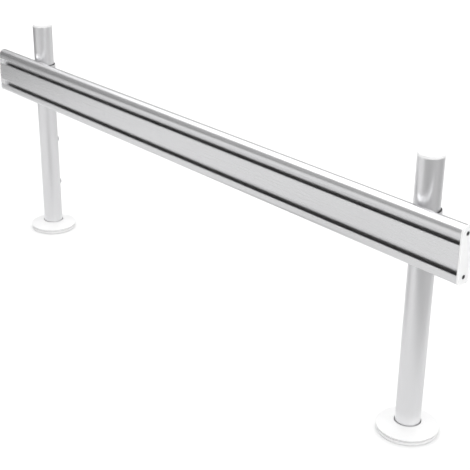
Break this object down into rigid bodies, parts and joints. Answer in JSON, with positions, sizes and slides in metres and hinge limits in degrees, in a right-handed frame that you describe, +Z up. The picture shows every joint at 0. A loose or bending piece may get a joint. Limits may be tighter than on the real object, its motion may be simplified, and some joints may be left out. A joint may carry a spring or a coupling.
{
  "type": "desk accessory rail",
  "caption": "Twin-slot aluminium accessory rail clamped to two round desk-mounted posts, with white caps and dished foot covers.",
  "frame": {"origin": "centre of the whole object's footprint, on the desk top", "axes": "+X along the rail, -Y to the rail's front, +Z up"},
  "size_m": [1.2, 0.096, 0.44],
  "materials": {
    "rail_aluminium": "satin anodised",
    "tube_aluminium": "satin anodised, fine grain along the tube",
    "white_plastic": "fine moulded texture",
    "white_coated_steel": "satin powder coat",
    "silver_paint": "satin powder coat",
    "black_plastic": "matt",
    "grey_plastic": "fine moulded texture",
    "grey_rubber": "matt, pale grey",
    "black_steel": "black oxide",
    "zinc_steel": "bright zinc plate"
  },
  "bodies": {
    "posts": {"left_post_tube": "tube_aluminium", "left_post_cap": "white_plastic", "left_post_plug": "zinc_steel", "left_post_bolt": "zinc_steel", "left_base_plate": "white_coated_steel", "left_base_pad": "grey_rubber", "left_lower_cable_plug": "grey_plastic", "left_upper_cable_plug": "grey_plastic", "right_post_tube": "tube_aluminium", "right_post_cap": "white_plastic", "right_post_plug": "zinc_steel", "right_post_bolt": "zinc_steel", "right_base_plate": "white_coated_steel", "right_base_pad": "grey_rubber", "right_lower_cable_plug": "grey_plastic", "right_upper_cable_plug": "grey_plastic"},
    "clamps": {"left_clamp_front": "silver_paint", "left_clamp_rear": "silver_paint", "left_clamp_liner_front": "black_plastic", "left_clamp_liner_rear": "black_plastic", "left_slot_bolts": "zinc_steel", "left_slot_nuts": "zinc_steel", "right_clamp_front": "silver_paint", "right_clamp_rear": "silver_paint", "right_clamp_liner_front": "black_plastic", "right_clamp_liner_rear": "black_plastic", "right_slot_bolts": "zinc_steel", "right_slot_nuts": "zinc_steel"},
    "rail": {"rail_profile": "rail_aluminium", "left_end_cap": "white_plastic", "left_end_cap_screws": "black_steel", "right_end_cap": "white_plastic", "right_end_cap_screws": "black_steel"},
    "left_cover": {"left_base_cover": "white_plastic"},
    "left_inner_screw": {"left_inner_clamp_screw": "zinc_steel"},
    "left_outer_screw": {"left_outer_clamp_screw": "zinc_steel"},
    "right_cover": {"right_base_cover": "white_plastic"},
    "right_inner_screw": {"right_inner_clamp_screw": "zinc_steel"},
    "right_outer_screw": {"right_outer_clamp_screw": "zinc_steel"}
  },
  "joints": [
    {"name": "rail_height", "type": "slide", "parent": "posts", "child": "clamps", "axis": [0, 0, 1], "range_m": [-0.1, 0.07]},
    {"name": "rail_shift", "type": "slide", "parent": "clamps", "child": "rail", "axis": [1, 0, 0], "range_m": [-0.06, 0.06]},
    {"name": "left_cover_lift", "type": "slide", "parent": "posts", "child": "left_cover", "axis": [0, 0, 1], "range_m": [0, 0.075]},
    {"name": "left_inner_screw_turn", "type": "hinge", "parent": "clamps", "child": "left_inner_screw", "pos_m": [-0.4724, 0.001, 0.3325], "axis": [0, 1, 0], "range_deg": [0, 360]},
    {"name": "left_outer_screw_turn", "type": "hinge", "parent": "clamps", "child": "left_outer_screw", "pos_m": [-0.5276, 0.001, 0.3325], "axis": [0, 1, 0], "range_deg": [0, 360]},
    {"name": "right_cover_lift", "type": "slide", "parent": "posts", "child": "right_cover", "axis": [0, 0, 1], "range_m": [0, 0.075]},
    {"name": "right_inner_screw_turn", "type": "hinge", "parent": "clamps", "child": "right_inner_screw", "pos_m": [0.4724, 0.001, 0.3325], "axis": [0, 1, 0], "range_deg": [0, 360]},
    {"name": "right_outer_screw_turn", "type": "hinge", "parent": "clamps", "child": "right_outer_screw", "pos_m": [0.5276, 0.001, 0.3325], "axis": [0, 1, 0], "range_deg": [0, 360]}
  ]
}
